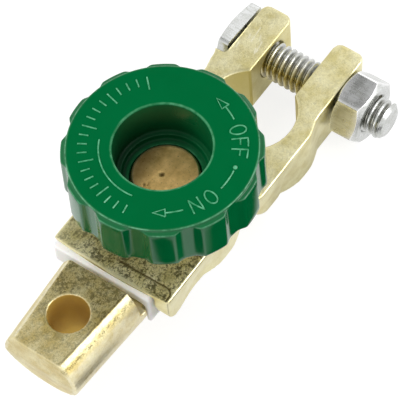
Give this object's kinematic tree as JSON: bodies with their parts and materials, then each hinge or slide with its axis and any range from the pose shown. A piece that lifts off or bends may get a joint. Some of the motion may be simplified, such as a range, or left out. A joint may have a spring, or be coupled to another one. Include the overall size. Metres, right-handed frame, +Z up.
{
  "type": "battery terminal disconnect switch",
  "caption": "Battery post clamp with a round cable post, joined through a lobed screw-down knob that breaks the circuit when it is unscrewed.",
  "frame": {"origin": "on the underside of the bottom cap, below the knob's axis, level with the clamp's underside", "axes": "+X from the cable post to the clamp ears, +Y along the clamp bolt towards its head, +Z up along the knob's axis"},
  "size_m": [0.0924, 0.0419, 0.0357],
  "materials": {
    "cast_brass": "as cast, with bright ground edges",
    "turned_brass": "turned",
    "white_nylon": "moulded nylon",
    "green_plastic": "glossy moulded",
    "zinc_plate": "bright zinc plate",
    "spring_steel": "blued spring steel"
  },
  "bodies": {
    "housing": {"clamp_casting": "cast_brass", "post_casting": "cast_brass", "insulator_block": "white_nylon", "insulating_sleeve": "white_nylon", "bottom_cap": "white_nylon"},
    "contact": {"contact_washer": "turned_brass"},
    "knob": {"knob_shell": "green_plastic", "stud": "turned_brass", "retaining_ring": "spring_steel"},
    "bolt": {"clamp_bolt": "zinc_plate"},
    "nut": {"clamp_nut": "zinc_plate"}
  },
  "joints": [
    {"name": "knob_lift", "type": "slide", "parent": "housing", "child": "contact", "axis": [0, 0, 1], "range_m": [0, 0.0026]},
    {"name": "knob_turn", "type": "hinge", "parent": "contact", "child": "knob", "pos_m": [0, 0, 0.03], "axis": [0, 0, 1], "range_deg": [0, 534]},
    {"name": "bolt_slide", "type": "slide", "parent": "housing", "child": "bolt", "axis": [0, 1, 0], "range_m": [0, 0.0036]},
    {"name": "nut_turn", "type": "hinge", "parent": "housing", "child": "nut", "pos_m": [0.0429, -0.0156, 0.0075], "axis": [0, -1, 0], "range_deg": [0, 900]}
  ],
  "couplings": [
    {"joint": "knob_lift", "follows": "knob_turn", "m_per_rad": 0.00027852},
    {"joint": "bolt_slide", "follows": "nut_turn", "m_per_rad": 0.00022441}
  ]
}
